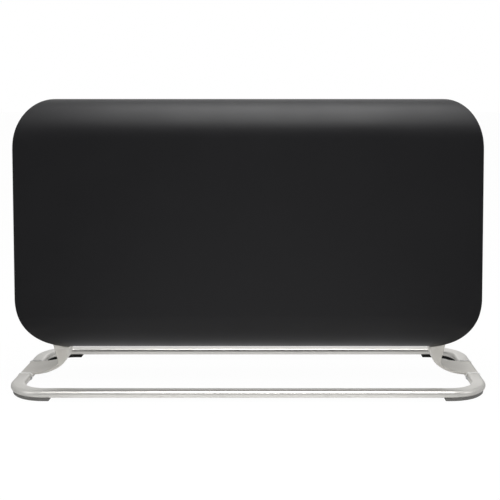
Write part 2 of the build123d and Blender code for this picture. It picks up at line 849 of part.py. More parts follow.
def terminal_block():
    low = frame_x
    block = box_between(low, low + block_height, -block_length / 2, block_length / 2,
                        block_z - block_width / 2, block_z + block_width / 2)
    ways = 4
    pitch = block_length / ways
    for way in range(ways):
        y = -block_length / 2 + pitch * (way + 0.5)
        block -= rod_x(low + block_height / 2, far, y, block_z, pitch * 0.5)
        block -= rod_z(block_z - far, block_z + far, low + block_height / 3, y, block_wire)
    return block


def tip_case():
    """Open case of the tip-over switch, with a cheek each side of the pendulum."""
    low = frame_x
    half = tip_case_width / 2 + tip_case_wall
    top = tip_z + tip_case_wall * 3
    foot = top - tip_case_height
    case = box_between(low, low + tip_case_depth, -half, half, foot, top)
    case -= box_between(low + tip_case_wall, low + tip_case_depth - tip_case_wall, -far, far,
                        foot - 1, top - tip_case_wall)
    case -= rod_x(0, far, 0, tip_z, tip_pin + 2 * shaft_fit)
    return case


def tip_pendulum():
    """Weight on an arm that swings across the case when the heater leans."""
    middle = frame_x + tip_case_depth / 2
    arm = box_between(middle - 1, middle + 1, -2.5, 2.5, tip_z - tip_arm, tip_z)
    hub = rod_x(middle - 3, middle + 3, 0, tip_z, 2 * tip_pin)
    pin = rod_x(frame_x + 0.2, frame_x + tip_case_depth - 0.2, 0, tip_z, tip_pin)
    weight = rod_x(middle - tip_weight_thick / 2, middle + tip_weight_thick / 2, 0,
                   tip_z - tip_arm, tip_weight)
    return arm + hub + pin + weight


def cord_gland():
    """Bush that carries the mains cord through the back sheet; its nut is inside."""
    face_y = half_depth
    gland = rod_y(face_y, face_y + gland_flange_wall, gland_x, gland_z, gland_flange)
    inner = face_y + gland_flange_wall - gland_length
    gland += rod_y(inner, face_y, gland_x, gland_z, gland_body)
    return gland - rod_y(-far, far, gland_x, gland_z, gland_bore)


def gland_nut_ring():
    inside = half_depth - sheet - fit_gap - cap_wall
    face = RegularPolygon(gland_nut / 2, 6, major_radius=False)
    face -= Circle(gland_body / 2 + spigot_fit)
    ring = extrude(Plane.XZ * face, gland_nut_wall)
    return Location((gland_x, inside - fit_gap / 3, gland_z)) * ring


def back_screw_places():
    x = half_width - cap_reach / 2
    rows = [roll_edge_z(inlet_end, False) + 22, middle_z, roll_edge_z(outlet_end, True) - 22]
    return [(side * x, z) for side in (-1, 1) for z in rows]


def back_panel_screws():
    made = []
    for x, z in back_screw_places():
        screw = rod_y(half_depth, half_depth + screw_head_height, x, z, screw_head)
        screw = fillet(screw.edges().group_by(Axis.Y)[-1], screw_head_height / 2)
        screw += rod_y(half_depth - screw_length, half_depth, x, z, screw_shank - 4 * spigot_fit)
        for turn in (0, 90):
            blade = Box(screw_recess * 1.8, screw_head_height, screw_recess / 3)
            screw -= Location((x, half_depth + screw_head_height, z), (0, turn, 0)) * blade
        made.append(screw)
    return solids_of(*made)


os.makedirs("parts", exist_ok=True)

tube_front = foot_tube()
bracket_right = foot_bracket()
cap_left = mirrored(end_cap())
frame_right = side_frame()

save(front_panel(), "front_panel")
save(back_panel(), "back_panel")
save(outlet_grille(), "outlet_grille")
save(inlet_grille(), "inlet_grille")
save(cap_left, "end_cap_left")
save(end_cap_right(), "end_cap_right")
save(control_bay(), "control_bay")
save(bay_screws(), "bay_screws")
save(thermostat_body(), "thermostat_body")
save(thermostat_nut_ring(), "thermostat_nut")
save(thermostat_shaft(), "thermostat_shaft")
save(thermostat_knob(), "thermostat_knob")
save(rocker_case(rocker_low_z), "rocker_case_low")
save(rocker_case(rocker_high_z), "rocker_case_high")
save(rocker(rocker_low_z), "rocker_low")
save(rocker(rocker_high_z), "rocker_high")
save(indicator_lens(), "indicator_lens")
save(chassis_rail(), "chassis_rail")
save(frame_right, "side_frame_right")
save(mirrored(frame_right), "side_frame_left")
save(frame_screws(), "frame_screws")
save(heat_shield(-1), "front_shield")
save(heat_shield(1), "rear_shield")
save(heating_element(), "heating_element")
save(heater_rods(), "heater_rods")
save(ceramic_bushes(), "ceramic_bushes")
save(thermal_cutout(), "thermal_cutout")
save(terminal_block(), "terminal_block")
save(tip_case(), "tip_switch_case")
save(tip_pendulum(), "tip_switch_pendulum")
save(cord_gland(), "cord_gland")
save(gland_nut_ring(), "gland_nut")
save(back_panel_screws(), "back_panel_screws")
save(tube_front, "foot_tube_front")
save(mirror(tube_front, Plane.XZ), "foot_tube_rear")
save(bracket_right, "foot_bracket_right")
save(mirrored(bracket_right), "foot_bracket_left")
save(foot_pads(), "foot_pads")
save(joint_rings(), "foot_joint_rings")
save(set_screws(), "foot_set_screws")
save(neck_bolts(), "neck_bolts")
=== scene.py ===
import math

import bmesh
import bpy
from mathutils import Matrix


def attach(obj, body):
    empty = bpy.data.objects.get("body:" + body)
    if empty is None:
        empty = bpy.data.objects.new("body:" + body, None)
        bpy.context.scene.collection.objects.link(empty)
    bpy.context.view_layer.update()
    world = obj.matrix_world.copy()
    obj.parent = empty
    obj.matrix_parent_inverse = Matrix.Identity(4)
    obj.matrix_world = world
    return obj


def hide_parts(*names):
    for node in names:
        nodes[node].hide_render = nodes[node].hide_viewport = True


# A low convector heater: powder coated steel body on a loop foot of satin aluminium.
# Everything is in metres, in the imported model's frame, and -Y is the front.

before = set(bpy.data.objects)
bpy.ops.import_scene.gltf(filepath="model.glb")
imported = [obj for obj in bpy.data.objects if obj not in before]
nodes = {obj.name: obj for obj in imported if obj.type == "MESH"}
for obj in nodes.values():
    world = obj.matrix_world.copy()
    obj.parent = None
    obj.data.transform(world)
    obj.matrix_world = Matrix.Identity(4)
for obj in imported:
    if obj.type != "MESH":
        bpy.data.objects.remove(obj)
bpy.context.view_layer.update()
scene = bpy.context.scene


def mm(value):
    return value / 1000.0


def perMetre(size):
    # texture scale for a feature of this many millimetres
    return 1000.0 / size


def linear(hexColour, alpha=1.0):
    parts = [int(hexColour[i:i + 2], 16) / 255.0 for i in (1, 3, 5)]
    out = [p / 12.92 if p <= 0.04045 else ((p + 0.055) / 1.055) ** 2.4 for p in parts]
    return (out[0], out[1], out[2], alpha)


def addNode(tree, kind, inputs=None, **settings):
    # one node with its settings; an input is a value or another node's output
    made = tree.nodes.new(kind)
    for name, value in settings.items():
        setattr(made, name, value)
    for key, value in (inputs or {}).items():
        if isinstance(value, bpy.types.NodeSocket):
            tree.links.new(value, made.inputs[key])
        else:
            made.inputs[key].default_value = value
    return made


def mathNode(tree, operation, *values):
    return addNode(tree, "ShaderNodeMath", dict(enumerate(values)), operation=operation).outputs[0]


def remap(tree, value, reach, levels):
    # a linear change from one level to another over a reach of the value
    return addNode(tree, "ShaderNodeMapRange", {
        "Value": value, "From Min": reach[0], "From Max": reach[1],
        "To Min": levels[0], "To Max": levels[1]}).outputs[0]


def twoTone(tree, share, dark, light):
    return addNode(tree, "ShaderNodeMix", {0: share, 6: dark, 7: light}, data_type="RGBA").outputs[2]


def bumped(tree, height, distance, strength=1.0):
    return addNode(tree, "ShaderNodeBump", {"Height": height, "Strength": strength,
                                            "Distance": mm(distance)}).outputs[0]


def emptyMaterial(name):
    material = bpy.data.materials.new(name)
    material.use_nodes = True
    material.node_tree.nodes.clear()
    return material, material.node_tree


def finishMaterial(tree, inputs):
    shader = addNode(tree, "ShaderNodeBsdfPrincipled", inputs)
    addNode(tree, "ShaderNodeOutputMaterial", {"Surface": shader.outputs[0]})


# Camera, floor and light

cameraSetup = {
    "place": (45.8, -1390.0, 411.8),    # mm
    "pitch": -0.0583,                   # radians, a little down
    "focal": 967.7,                     # in pixels
    "frame": 500.0,                     # pixels across
    "sensor": 36.0,                     # mm across
    "shift": (-0.0627, -0.2),
    "clip": (0.05, 80.0),
}

studio = {
    "floorColour": "#f2f2f2",
    "floorReach": 20.0,                 # from the middle to each edge
    "floorLift": 0.975,                 # how far the camera sees the floor as paper white
    "floorShine": 0.85,                 # the same for what mirrors in the object
    "skyFront": 0.33,                   # what the object meets in front, to the side of the lens
    "skyBack": 1.0,                     # behind the object, straight on from the lens
    "skyAside": 0.50,                   # and behind it, out to the sides
    "skyTurn": (-0.9, 0.6),             # direction's Y over which the front level becomes the back one
    "skySpread": (0.08, 0.32),          # direction's X over which the back level falls to the side one
    "shineAside": (0.20, 0.42),         # distance from the middle over which the mirrored floor darkens
    "shineLevels": (0.95, 0.12),
    "topSize": (0.90, 1.55),
    "topPlace": (0.06, -0.34, 1.50),
    "topPower": 28.0,
    "sideSize": (0.5, 1.4),
    "sidePlaces": {"leftSoftbox": (-1.7, -0.9, 0.9), "rightSoftbox": (1.7, -0.9, 0.9)},
    "sideAim": (0.0, 0.0, 0.2),
    "sidePower": 4.0,
}


def makeCamera(setup):
    data = bpy.data.cameras.new("camera")
    data.sensor_fit = "HORIZONTAL"
    data.sensor_width = setup["sensor"]
    data.lens = setup["focal"] / setup["frame"] * setup["sensor"]
    data.shift_x, data.shift_y = setup["shift"]
    data.clip_start, data.clip_end = setup["clip"]
    cam = bpy.data.objects.new("camera", data)
    cam.location = [mm(v) for v in setup["place"]]
    cam.rotation_euler = (math.pi / 2 + setup["pitch"], 0.0, 0.0)
    scene.collection.objects.link(cam)
    scene.camera = cam


def makeLight(name, place, aim, size, power):
    data = bpy.data.lights.new(name, "AREA")
    data.shape = "RECTANGLE"
    data.size, data.size_y = size
    data.energy = power
    data.color = (1.0, 1.0, 1.0)
    lamp = bpy.data.objects.new(name, data)
    lamp.location = place
    away = [a - b for a, b in zip(place, aim)]
    flat = math.hypot(away[0], away[1])
    heading = math.atan2(away[0], -away[1]) if flat > 1e-6 else 0.0
    lamp.rotation_euler = (math.atan2(flat, away[2]), 0.0, heading)
    scene.collection.objects.link(lamp)


def makeFloor(setup):
    mesh = bpy.data.meshes.new("studioFloor")
    reach = setup["floorReach"]
    corners = [(-reach, -reach, 0), (reach, -reach, 0), (reach, reach, 0), (-reach, reach, 0)]
    mesh.from_pydata(corners, [], [(0, 1, 2, 3)])
    floor = bpy.data.objects.new("studioFloor", mesh)
    scene.collection.objects.link(floor)
    material, tree = emptyMaterial("studioPaper")
    paper = addNode(tree, "ShaderNodeBsdfDiffuse", {"Color": linear(setup["floorColour"])})
    rays = addNode(tree, "ShaderNodeLightPath")
    mirrored = mathNode(tree, "MAXIMUM", rays.outputs["Is Glossy Ray"], rays.outputs["Is Transmission Ray"])
    spot = addNode(tree, "ShaderNodeNewGeometry")
    across = addNode(tree, "ShaderNodeSeparateXYZ", {0: spot.outputs["Position"]})
    aside = mathNode(tree, "ABSOLUTE", across.outputs["X"])
    share = remap(tree, aside, setup["shineAside"], setup["shineLevels"])
    strength = addNode(tree, "ShaderNodeMix", {0: rays.outputs["Is Camera Ray"], 2: share, 3: 1.0})
    glow = addNode(tree, "ShaderNodeEmission", {"Color": (1, 1, 1, 1), "Strength": strength.outputs[0]})
    shine = mathNode(tree, "MULTIPLY", mirrored, setup["floorShine"])
    seen = mathNode(tree, "MULTIPLY", rays.outputs["Is Camera Ray"], setup["floorLift"])
    part = mathNode(tree, "MAXIMUM", seen, shine)
    mixed = addNode(tree, "ShaderNodeMixShader", {0: part, 1: paper.outputs[0], 2: glow.outputs[0]})
    addNode(tree, "ShaderNodeOutputMaterial", {"Surface": mixed.outputs[0]})
    mesh.materials.append(material)


def makeSky(setup):
    world = bpy.data.worlds.new("studioSky")
    world.use_nodes = True
    scene.world = world
    tree = world.node_tree
    tree.nodes.clear()
    ray = addNode(tree, "ShaderNodeTexCoord")
    split = addNode(tree, "ShaderNodeSeparateXYZ", {0: ray.outputs["Generated"]})
    aside = mathNode(tree, "ABSOLUTE", split.outputs["X"])
    back = remap(tree, aside, setup["skySpread"], (setup["skyBack"], setup["skyAside"]))
    level = remap(tree, split.outputs["Y"], setup["skyTurn"], (setup["skyFront"], back))
    rays = addNode(tree, "ShaderNodeLightPath")
    strength = addNode(tree, "ShaderNodeMix", {0: rays.outputs["Is Camera Ray"], 2: level, 3: 1.0})
    sky = addNode(tree, "ShaderNodeBackground", {"Color": (1, 1, 1, 1), "Strength": strength.outputs[0]})
    addNode(tree, "ShaderNodeOutputWorld", {"Surface": sky.outputs[0]})


scene.view_settings.view_transform = "Standard"
makeCamera(cameraSetup)
makeFloor(studio)
makeSky(studio)
makeLight("topSoftbox", studio["topPlace"], (studio["topPlace"][0], studio["topPlace"][1], 0.0),
          studio["topSize"], studio["topPower"])
for sideName, sidePlace in studio["sidePlaces"].items():
    makeLight(sideName, sidePlace, studio["sideAim"], studio["sideSize"], studio["sidePower"])
print("stage: camera, floor and light")


# Materials

finishes = {
    # satin polyester powder coat: near black, soft sheen, faint orange peel
    "powderCoat": {"dark": "#0f0f11", "light": "#121214", "roughness": 0.44, "spread": 0.03,
                   "patch": 70.0, "grain": 1.6, "relief": 0.03, "level": 0.24},
    # moulded ABS with a spark eroded texture: dry and even
    "texturedAbs": {"dark": "#161617", "light": "#1d1d1f", "roughness": 0.58, "spread": 0.06,
                    "patch": 30.0, "grain": 0.7, "relief": 0.06, "level": 0.5},
    # glass filled nylon of the grilles, which sit in the warm air
    "grilleNylon": {"dark": "#141415", "light": "#1b1b1c", "roughness": 0.50, "spread": 0.08,
                    "patch": 18.0, "grain": 0.9, "relief": 0.04, "level": 0.5},
    # polished ABS of the knob, fine scratches give it a spread of gloss
    "knobAbs": {"dark": "#121213", "light": "#18181a", "roughness": 0.30, "spread": 0.10,
                "patch": 8.0, "grain": 0.8, "relief": 0.006, "level": 0.5},
    # rubber of the pads: matt, a little dusty and black; the mid grey at the front is a painted highlight for
    # the light falling on the front pads
    "padRubber": {"dark": "#0f0f0f", "light": "#1d1c1b", "roughness": 0.82, "spread": 0.10,
                  "patch": 6.0, "grain": 0.6, "relief": 0.08, "level": 0.35, "front": "#757472"},
    # phenolic resin of the thermostat and cut-out: brown black, mottled by its filler
    "phenolic": {"dark": "#1c1410", "light": "#33241a", "roughness": 0.45, "spread": 0.10,
                 "patch": 1.8, "grain": 0.9, "relief": 0.03, "level": 0.5},
    # natural polyamide of the terminal block and the tip switch's case
    "naturalNylon": {"dark": "#cfcbbd", "light": "#dedbd0", "roughness": 0.42, "spread": 0.06,
                     "patch": 12.0, "grain": 1.0, "relief": 0.02, "level": 0.5},
    # polyamide rings of the foot's joints, coloured bright white as a painted highlight: the white stands in
    # for the light that their edge catches
    "ringPaintedHighlight": {"dark": "#f4f4f2", "light": "#fbfbfa", "roughness": 0.35, "spread": 0.04,
                  "patch": 8.0, "grain": 0.8, "relief": 0.01, "level": 0.5},
    # steatite bushes: unglazed, speckled
    "steatite": {"dark": "#c9bfa9", "light": "#e2dac8", "roughness": 0.62, "spread": 0.08,
                 "patch": 1.2, "grain": 0.6, "relief": 0.04, "level": 0.5},
    # red translucent polycarbonate of the rockers, here dense enough to look solid
    "rockerRed": {"dark": "#7d100c", "light": "#9a1a12", "roughness": 0.22, "spread": 0.06,
                  "patch": 5.0, "grain": 0.8, "relief": 0.01, "level": 0.55},
    # white printing ink of the dial and the knob's pointer
    "whiteInk": {"dark": "#c9c9c6", "light": "#dededb", "roughness": 0.55, "spread": 0.05,
                 "patch": 2.0, "grain": 0.5, "relief": 0.02, "level": 0.4},
}


# painted highlight: the front pads' lighter grey, standing in for the light that falls on them, fades in over
# this reach of Y
padPaintedHighlightReach = (0.02, -0.02)     # the pads' front tone comes in over this reach of Y
noiseSpan = (0.3, 0.7)      # the part of a noise's output that is stretched over a gloss range


def glossRange(f):
    return f["roughness"] - f["spread"], f["roughness"] + f["spread"]


def coated(name):
    # every non-metal: two tones in soft patches, uneven gloss and a fine relief
    f = finishes[name]
    material, tree = emptyMaterial(name)
    place = addNode(tree, "ShaderNodeTexCoord").outputs["Object"]
    patch = addNode(tree, "ShaderNodeTexNoise", {"Vector": place, "Scale": perMetre(f["patch"]),
                                                 "Detail": 3.0, "Roughness": 0.55}).outputs["Fac"]
    grain = addNode(tree, "ShaderNodeTexNoise", {"Vector": place, "Scale": perMetre(f["grain"]),
                                                 "Detail": 2.0, "Roughness": 0.6}).outputs["Fac"]
    tone = twoTone(tree, patch, linear(f["dark"]), linear(f["light"]))
    # painted highlight: towards the front (-Y) the tone turns mid grey, for the light falling on the front
    # pads
    if "front" in f:
        split = addNode(tree, "ShaderNodeSeparateXYZ", {0: place})
        paintedHighlightShare = remap(tree, split.outputs["Y"], padPaintedHighlightReach, (0.0, 1.0))
        tone = twoTone(tree, paintedHighlightShare, tone, linear(f["front"]))
    finishMaterial(tree, {
        "Base Color": tone, "Roughness": remap(tree, patch, noiseSpan, glossRange(f)),
        "Normal": bumped(tree, grain, f["relief"]), "Specular IOR Level": f["level"]})
    return material


metals = {
    # satin anodised aluminium tube: even, warm white, blasted so fine that it only softens the gloss
    "anodisedTube": {"dark": "#d6d4d0", "light": "#e0ded9", "roughness": 0.34, "spread": 0.02,
                     "patch": (60.0, 60.0, 60.0), "line": (0.6, 0.6, 0.6), "relief": 0.0012,
                     "metallic": 0.75},
    # die cast aluminium, tumbled and lacquered: softer than the tube
    "castAluminium": {"dark": "#d3d0c9", "light": "#dddad4", "roughness": 0.36, "spread": 0.03,
                      "patch": (14.0, 14.0, 14.0), "line": (1.2, 1.2, 1.2), "relief": 0.004,
                      "metallic": 0.55},
    # raw extruded fins of the element, with die lines along X
    "extrudedFin": {"dark": "#9c9c9b", "light": "#b8b8b6", "roughness": 0.38, "spread": 0.08,
                    "patch": (60.0, 8.0, 8.0), "line": (60.0, 0.8, 0.8), "relief": 0.02},
    # hot rolled sheath of the rods, straw and blue from the heat
    "sheathSteel": {"dark": "#6b5f57", "light": "#8b8784", "roughness": 0.40, "spread": 0.08,
                    "patch": (30.0, 30.0, 30.0), "line": (12.0, 0.8, 0.8), "relief": 0.015},
    # zinc plated screws
    "zincPlate": {"dark": "#a9adb3", "light": "#c4c8cc", "roughness": 0.30, "spread": 0.06,
                  "patch": (4.0, 4.0, 4.0), "line": (0.9, 0.9, 0.9), "relief": 0.01},
    # black passivated screws
    "blackZinc": {"dark": "#29292b", "light": "#3a3a3d", "roughness": 0.38, "spread": 0.08,
                  "patch": (3.0, 3.0, 3.0), "line": (0.8, 0.8, 0.8), "relief": 0.01},
    # plain brass nut
    "plainBrass": {"dark": "#a8843c", "light": "#c29c4e", "roughness": 0.30, "spread": 0.06,
                   "patch": (5.0, 5.0, 5.0), "line": (0.9, 6.0, 6.0), "relief": 0.01},
}


def metal(name):
    # every plain metal: tone and gloss drift slowly, and fine lines or grain break the reflection
    f = metals[name]
    material, tree = emptyMaterial(name)
    place = addNode(tree, "ShaderNodeTexCoord").outputs["Object"]
    wide = addNode(tree, "ShaderNodeMapping", {"Vector": place, "Scale": [perMetre(v) for v in f["patch"]]})
    fine = addNode(tree, "ShaderNodeMapping", {"Vector": place, "Scale": [perMetre(v) for v in f["line"]]})
    patch = addNode(tree, "ShaderNodeTexNoise", {"Vector": wide.outputs[0], "Scale": 1.0,
                                                 "Detail": 3.0}).outputs["Fac"]
    line = addNode(tree, "ShaderNodeTexNoise", {"Vector": fine.outputs[0], "Scale": 1.0,
                                                "Detail": 2.0}).outputs["Fac"]
    finishMaterial(tree, {
        "Base Color": twoTone(tree, patch, linear(f["dark"]), linear(f["light"])),
        "Metallic": f.get("metallic", 1.0), "Roughness": remap(tree, line, noiseSpan, glossRange(f)),
        "Normal": bumped(tree, line, f["relief"])})
    return material


galvanised = {"dark": "#8d9296", "light": "#b4b9bc", "spangle": 9.0, "roughness": 0.34, "spread": 0.14,
              "warp": 6.0, "bend": 0.004, "relief": 0.02}


def galvanisedSheet():
    # hot dip galvanised steel: zinc crystals of about 9 mm, each with its own grey and gloss
    f = galvanised
    material, tree = emptyMaterial("galvanisedSheet")
    place = addNode(tree, "ShaderNodeTexCoord").outputs["Object"]
    warp = addNode(tree, "ShaderNodeTexNoise", {"Vector": place, "Scale": perMetre(f["warp"])})
    bent = addNode(tree, "ShaderNodeMix", {0: f["bend"], 4: place, 5: warp.outputs["Color"]},
                   data_type="VECTOR")
    cell = addNode(tree, "ShaderNodeTexVoronoi", {"Vector": bent.outputs[1], "Scale": perMetre(f["spangle"])})
    shade = addNode(tree, "ShaderNodeSeparateColor", {0: cell.outputs["Color"]})
    finishMaterial(tree, {
        "Base Color": twoTone(tree, shade.outputs[0], linear(f["dark"]), linear(f["light"])),
        "Metallic": 1.0, "Roughness": remap(tree, shade.outputs[1], (0.0, 1.0), glossRange(f)),
        "Normal": bumped(tree, warp.outputs["Fac"], f["relief"])})
    return material


lensFinish = {"colour": "#e07a1e", "shade": "#c4611a", "roughness": 0.12, "transmission": 0.75,
              "ior": 1.585, "rib": 1.1, "relief": 0.1, "strength": 0.4}


def lensPolycarbonate():
    # amber polycarbonate, ribbed inside so that the lamp behind it spreads
    f = lensFinish
    material, tree = emptyMaterial("lensPolycarbonate")
    place = addNode(tree, "ShaderNodeTexCoord").outputs["Object"]
    ribs = addNode(tree, "ShaderNodeTexWave", {"Vector": place, "Scale": perMetre(f["rib"]) / 20,
                                               "Distortion": 0.0}, bands_direction="Y").outputs["Fac"]
    finishMaterial(tree, {
        "Base Color": twoTone(tree, ribs, linear(f["colour"]), linear(f["shade"])),
        "Roughness": f["roughness"], "IOR": f["ior"], "Transmission Weight": f["transmission"],
        "Normal": bumped(tree, ribs, f["relief"], f["strength"])})
    return material


made = {name: coated(name) for name in finishes}
made.update({name: metal(name) for name in metals})
made["galvanisedSheet"] = galvanisedSheet()
made["lensPolycarbonate"] = lensPolycarbonate()

wears = {
    "powderCoat": ["front_panel", "back_panel"],
    "texturedAbs": ["end_cap_left", "end_cap_right", "control_bay", "cord_gland", "gland_nut",
                    "rocker_case_low", "rocker_case_high"],
    "grilleNylon": ["outlet_grille", "inlet_grille"],
    "knobAbs": ["thermostat_knob"],
    "padRubber": ["foot_pads"],
    "phenolic": ["thermostat_body", "thermal_cutout"],
    "naturalNylon": ["terminal_block", "tip_switch_case"],
    "ringPaintedHighlight": ["foot_joint_rings"],
    "steatite": ["ceramic_bushes"],
    "rockerRed": ["rocker_low", "rocker_high"],
    "anodisedTube": ["foot_tube_front", "foot_tube_rear"],
    "castAluminium": ["foot_bracket_left", "foot_bracket_right"],
    "extrudedFin": ["heating_element"],
    "sheathSteel": ["heater_rods"],
    "zincPlate": ["frame_screws", "foot_set_screws", "neck_bolts", "thermostat_shaft", "tip_switch_pendulum"],
    "blackZinc": ["back_panel_screws", "bay_screws"],
    "plainBrass": ["thermostat_nut"],
    "galvanisedSheet": ["chassis_rail", "side_frame_left", "side_frame_right", "front_shield", "rear_shield"],
    "lensPolycarbonate": ["indicator_lens"],
}

for finish, wearers in wears.items():
    for wearer in wearers:
        target = nodes[wearer]
        if not target.material_slots:
            target.data.materials.append(made[finish])
        for place in target.material_slots:
            place.material = made[finish]
print("stage: materials on", sum(len(w) for w in wears.values()), "nodes")


weldReach = 0.001       # mm


def shadeSmooth(mesh):
    mesh.polygons.foreach_set("use_smooth", [True] * len(mesh.polygons))


def addPiece(name, mesh, replaced=None, body="heater"):
    piece = bpy.data.objects.new(name, mesh)
    scene.collection.objects.link(piece)
    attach(piece, body)
    if replaced:
        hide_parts(replaced)


def newMesh(name, verts, faces, finish, sharp=35.0):
    mesh = bpy.data.meshes.new(name)
    mesh.from_pydata(verts, [], faces)
    mesh.materials.append(made[finish])
    shadeSmooth(mesh)
    work = bmesh.new()
    work.from_mesh(mesh)
    bmesh.ops.remove_doubles(work, verts=work.verts, dist=mm(weldReach))
    bmesh.ops.recalc_face_normals(work, faces=work.faces)
    work.to_mesh(mesh)
    work.free()
    mesh.set_sharp_from_angle(angle=math.radians(sharp))
    return mesh


def sweptFaces(rings, ring, turned=False):
    # the walls between rings of points, and the two ends
    faces = []
    for i in range(rings - 1):
        for j in range(ring):
            k = (j + 1) % ring
            faces.append((i * ring + j, i * ring + k, (i + 1) * ring + k, (i + 1) * ring + j))
    faces.append(tuple(reversed(range(ring))) if turned else tuple(range(ring)))
    faces.append(tuple((rings - 1) * ring + j for j in range(ring)))
    return faces


# Front sheet

sheetForm = {
    "width": 650.0, "height": 357.0, "depth": 120.0, "base": 47.0, "roll": 58.0, "wall": 1.2,
    "topCorner": (46.0, 70.0), "lowCorner": (82.0, 80.0),
    "topWrap": 6.0, "lowWrap": 34.0, "rollSteps": 40, "wrapSteps": 4, "edgeSteps": 4,
    "columns": (-1.0, -0.995, -0.97, -0.9, -0.75, -0.5, -0.25, 0.0, 0.25, 0.5, 0.75, 0.9, 0.97, 0.995, 1.0),
}


def halfWidth(z, form):
    # half the sheet's width at a height, from the two elliptical corners
    top = form["base"] + form["height"]
    inset = 0.0
    for (reach, rise), far in ((form["topCorner"], z - top), (form["lowCorner"], form["base"] - z)):
        t = (far + rise) / rise
        if t > 0.0:
            inset = reach * (1.0 - math.sqrt(max(0.0, 1.0 - min(t, 1.0) ** 2)))
    return form["width"] / 2 - inset


def sheetStations(form):
    # points (y, z) and outward normals along the sheet's bend, from the back of the bottom to the top
    roll = form["roll"]
    flat = form["depth"] / 2 - roll
    lowZ = form["base"] + roll
    highZ = form["base"] + form["height"] - roll
    steps = form["rollSteps"]
    out = []
    last = math.asin((form["lowWrap"] - flat) / roll)
    for i in range(steps + 1):
        a = last * (1 - i / steps)
        out.append((flat + roll * math.sin(a), lowZ - roll * math.cos(a), math.sin(a), -math.cos(a)))
    for i in range(steps + 1):
        a = math.pi / 2 * i / steps
        out.append((-flat - roll * math.sin(a), lowZ - roll * math.cos(a), -math.sin(a), -math.cos(a)))
    for i in range(steps):
        z = lowZ + (highZ - lowZ) * (i + 1) / (steps + 1)
        out.append((-flat - roll, z, -1.0, 0.0))
    for i in range(steps + 1):
        a = math.pi / 2 * (1 - i / steps)
        out.append((-flat - roll * math.sin(a), highZ + roll * math.cos(a), -math.sin(a), math.cos(a)))
    last = math.asin((form["topWrap"] - flat) / roll)
    for i in range(form["wrapSteps"] + 1):
        a = last * i / form["wrapSteps"]
        out.append((flat + roll * math.sin(a), highZ + roll * math.cos(a), math.sin(a), math.cos(a)))
    return out


def frontSheet(form):
    wall = form["wall"]
    bend = wall / 2
    columns = form["columns"]
    verts = []
    stations = sheetStations(form)

    def at(y, z, ny, nz, depth, side, share, pull):
        py, pz = y - ny * depth, z - nz * depth
        half = halfWidth(pz, form) - pull
        verts.append((mm(half * share if side == 0 else side * half), mm(py), mm(pz)))

    for y, z, ny, nz in stations:
        for share in columns:
            at(y, z, ny, nz, 0.0, 0, share, bend)
        for i in range(1, form["edgeSteps"]):
            a = math.pi * i / form["edgeSteps"]
            at(y, z, ny, nz, bend * (1 - math.cos(a)), 1, 1, bend * (1 - math.sin(a)))
        for share in reversed(columns):
            at(y, z, ny, nz, wall, 0, share, bend)
        for i in range(1, form["edgeSteps"]):
            a = math.pi * i / form["edgeSteps"]
            at(y, z, ny, nz, bend * (1 + math.cos(a)), -1, 1, bend * (1 - math.sin(a)))
    ring = 2 * len(columns) + 2 * (form["edgeSteps"] - 1)
    mesh = newMesh("frontSheet", verts, sweptFaces(len(stations), ring, True), "powderCoat")
    addPiece("frontSheet", mesh, "front_panel")


frontSheet(sheetForm)
print("stage: front sheet")


# Loop foot

footForm = {
    "loopWidth": 658.0, "loopDepth": 236.0, "barWidth": 20.0, "barHeight": 9.5, "barEdge": 4.6,
    "bend": 45.0, "padHeight": 4.5, "joint": 32.5, "edgeSteps": 8, "bendSteps": 36, "soften": 0.5,
    "sharp": 40.0,
}


def barSection(form, inset):
    # rounded rectangle, as (across, up), drawn in at the joint so that its edge catches the light
    w, h, r = form["barWidth"] / 2 - inset, form["barHeight"] / 2 - inset, form["barEdge"] - inset
    points = []
    for quarter, (sx, sz) in enumerate(((1, 1), (-1, 1), (-1, -1), (1, -1))):
        for i in range(form["edgeSteps"] + 1):
            a = math.pi / 2 * (quarter + i / form["edgeSteps"])
            points.append((sx * (w - r) + r * math.cos(a), sz * (h - r) + r * math.sin(a)))
    return points


def footTube(form, name, side, node):
    barX = form["loopWidth"] / 2 - form["barWidth"] / 2
    barY = form["loopDepth"] / 2 - form["barWidth"] / 2
    cx, cy = barX - form["bend"], barY - form["bend"]
    path = []
    for y in (form["joint"], form["joint"] + form["soften"]):
        path.append((-barX, -y, 0.0))
    for i in range(form["bendSteps"] + 1):
        a = math.pi / 2 * i / form["bendSteps"]
        path.append((-cx - form["bend"] * math.cos(a), -cy - form["bend"] * math.sin(a), a))
    for i in range(form["bendSteps"] + 1):
        a = math.pi / 2 * (1 - i / form["bendSteps"])
        path.append((cx + form["bend"] * math.cos(a), -cy - form["bend"] * math.sin(a), math.pi - a))
    for y in (form["joint"] + form["soften"], form["joint"]):
        path.append((barX, -y, math.pi))
    z = form["padHeight"] + form["barHeight"] / 2
    verts = []
    for i, (x, y, a) in enumerate(path):
        inset = form["soften"] if i in (0, len(path) - 1) else 0.0
        for across, up in barSection(form, inset):
            verts.append((mm(x + across * math.cos(a)), mm(side * (y + across * math.sin(a))), mm(z + up)))
    ring = 4 * (form["edgeSteps"] + 1)
    mesh = newMesh(name, verts, sweptFaces(len(path), ring), "anodisedTube", form["sharp"])
    addPiece(name, mesh, node)


footTube(footForm, "footTubeFront", 1, "foot_tube_front")
footTube(footForm, "footTubeRear", -1, "foot_tube_rear")

ringForm = {
    "proud": 0.9,       # how far the lip stands over the tube
    "shell": 0.6,       # points this close to the ring's outside move with it
    "inset": 0.05,
}


